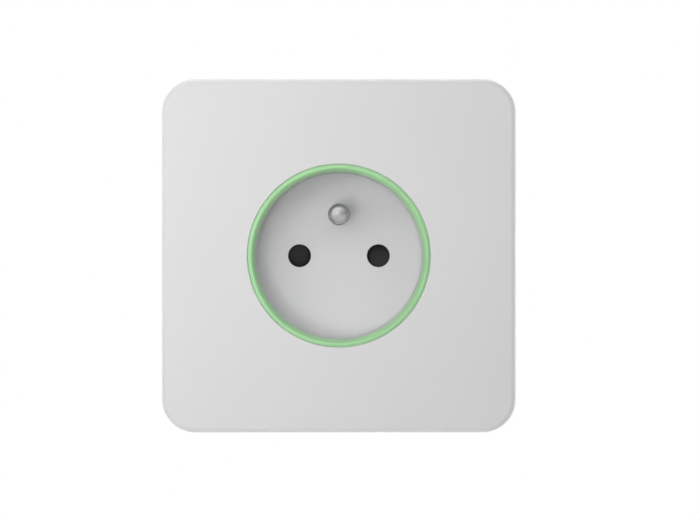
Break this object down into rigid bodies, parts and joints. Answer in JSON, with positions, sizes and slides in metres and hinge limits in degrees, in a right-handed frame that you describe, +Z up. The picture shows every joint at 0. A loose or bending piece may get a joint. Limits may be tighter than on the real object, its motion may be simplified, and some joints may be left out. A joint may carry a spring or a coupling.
{
  "type": "smart wall outlet",
  "caption": "Flush-mounted wall outlet with a square cover plate, a round recessed well with earth pin and shuttered pin holes, and a green light ring round the well.",
  "frame": {"origin": "on the axis of the round well, in the plane of the wall that the yoke seats on", "axes": "+Y into the wall, +Z up, +X to the right as seen from the front"},
  "size_m": [0.085, 0.0459, 0.085],
  "materials": {
    "cover_white": "fine satin moulded white",
    "well_white": "fine satin moulded light grey",
    "ring_green": "translucent diffuser lit green",
    "shutter_dark": "dark grey moulded",
    "nickel": "turned and nickel plated",
    "steel": "zinc plated",
    "brass": "stamped",
    "board_white": "white solder mask",
    "board_green": "green solder mask",
    "lamp": "cast resin",
    "ribbon": "flat cable film",
    "carrier_grey": "heat-resistant moulding",
    "relay_case": "moulded blue",
    "iron": "soft iron",
    "copper": "enamelled wire",
    "winding_tape": "yellow film tape",
    "capacitor_sleeve": "shrink sleeve",
    "fuse_ceramic": "ceramic",
    "varistor_blue": "dipped epoxy",
    "chip_black": "moulded epoxy",
    "housing_grey": "moulded light grey"
  },
  "bodies": {
    "base": {"light_ring": "ring_green", "led_board": "board_white", "led_1": "lamp", "led_2": "lamp", "led_3": "lamp", "led_4": "lamp", "led_5": "lamp", "led_6": "lamp", "led_7": "lamp", "led_8": "lamp", "radio_module": "steel", "board_ribbon": "ribbon", "socket_insert": "well_white", "earth_pin": "nickel", "shutter_spring": "steel", "mounting_yoke": "steel", "contact_carrier": "carrier_grey", "live_contact": "brass", "neutral_contact": "brass", "earth_strap": "brass", "line_bar": "brass", "main_board": "board_green", "relay_cover": "relay_case", "relay_base": "relay_case", "relay_coil": "copper", "relay_core": "iron", "transformer_core": "iron", "transformer_winding": "winding_tape", "filter_capacitor": "capacitor_sleeve", "fuse": "fuse_ceramic", "varistor": "varistor_blue", "processor_chip": "chip_black", "rear_housing": "housing_grey", "housing_screw_1": "steel", "housing_screw_2": "steel", "housing_screw_3": "steel", "housing_screw_4": "steel"},
    "cover": {"cover_plate": "cover_white"},
    "shutter_rotor": {"shutter": "shutter_dark"},
    "relay_flap": {"relay_armature": "iron"},
    "line_screw": {"terminal_screw_line": "steel"},
    "line_cage": {"terminal_cage_line": "steel"},
    "earth_screw": {"terminal_screw_earth": "steel"},
    "earth_cage": {"terminal_cage_earth": "steel"},
    "neutral_screw": {"terminal_screw_neutral": "steel"},
    "neutral_cage": {"terminal_cage_neutral": "steel"}
  },
  "joints": [
    {"name": "cover_pull", "type": "slide", "parent": "base", "child": "cover", "axis": [0, -1, 0], "range_m": [0, 0.0054]},
    {"name": "shutter_turn", "type": "hinge", "parent": "base", "child": "shutter_rotor", "pos_m": [0, 0.0085, 0], "axis": [0, 1, 0], "range_deg": [0, 40], "stiffness_Nm_per_rad": 0.002, "springref_deg": -34.38, "deforming": ["shutter_spring"]},
    {"name": "relay_switch", "type": "hinge", "parent": "base", "child": "relay_flap", "pos_m": [0.0079, 0.01694, 0.019], "axis": [-1, 0, 0], "range_deg": [0, 4], "stiffness_Nm_per_rad": 0.002, "springref_deg": -17.19},
    {"name": "line_screw_turn", "type": "hinge", "parent": "base", "child": "line_screw", "pos_m": [-0.0095, 0.03, -0.0182], "axis": [0, -1, 0], "range_deg": [0, 2160]},
    {"name": "line_cage_draw", "type": "slide", "parent": "base", "child": "line_cage", "axis": [0, 1, 0], "range_m": [0, 0.0036]},
    {"name": "earth_screw_turn", "type": "hinge", "parent": "base", "child": "earth_screw", "pos_m": [0, 0.03, -0.0182], "axis": [0, -1, 0], "range_deg": [0, 2160]},
    {"name": "earth_cage_draw", "type": "slide", "parent": "base", "child": "earth_cage", "axis": [0, 1, 0], "range_m": [0, 0.0036]},
    {"name": "neutral_screw_turn", "type": "hinge", "parent": "base", "child": "neutral_screw", "pos_m": [0.0095, 0.03, -0.0182], "axis": [0, -1, 0], "range_deg": [0, 2160]},
    {"name": "neutral_cage_draw", "type": "slide", "parent": "base", "child": "neutral_cage", "axis": [0, 1, 0], "range_m": [0, 0.0036]}
  ],
  "couplings": [
    {"joint": "line_screw_turn", "follows": "line_cage_draw", "rad_per_m": 10472},
    {"joint": "earth_screw_turn", "follows": "earth_cage_draw", "rad_per_m": 10472},
    {"joint": "neutral_screw_turn", "follows": "neutral_cage_draw", "rad_per_m": 10472}
  ]
}
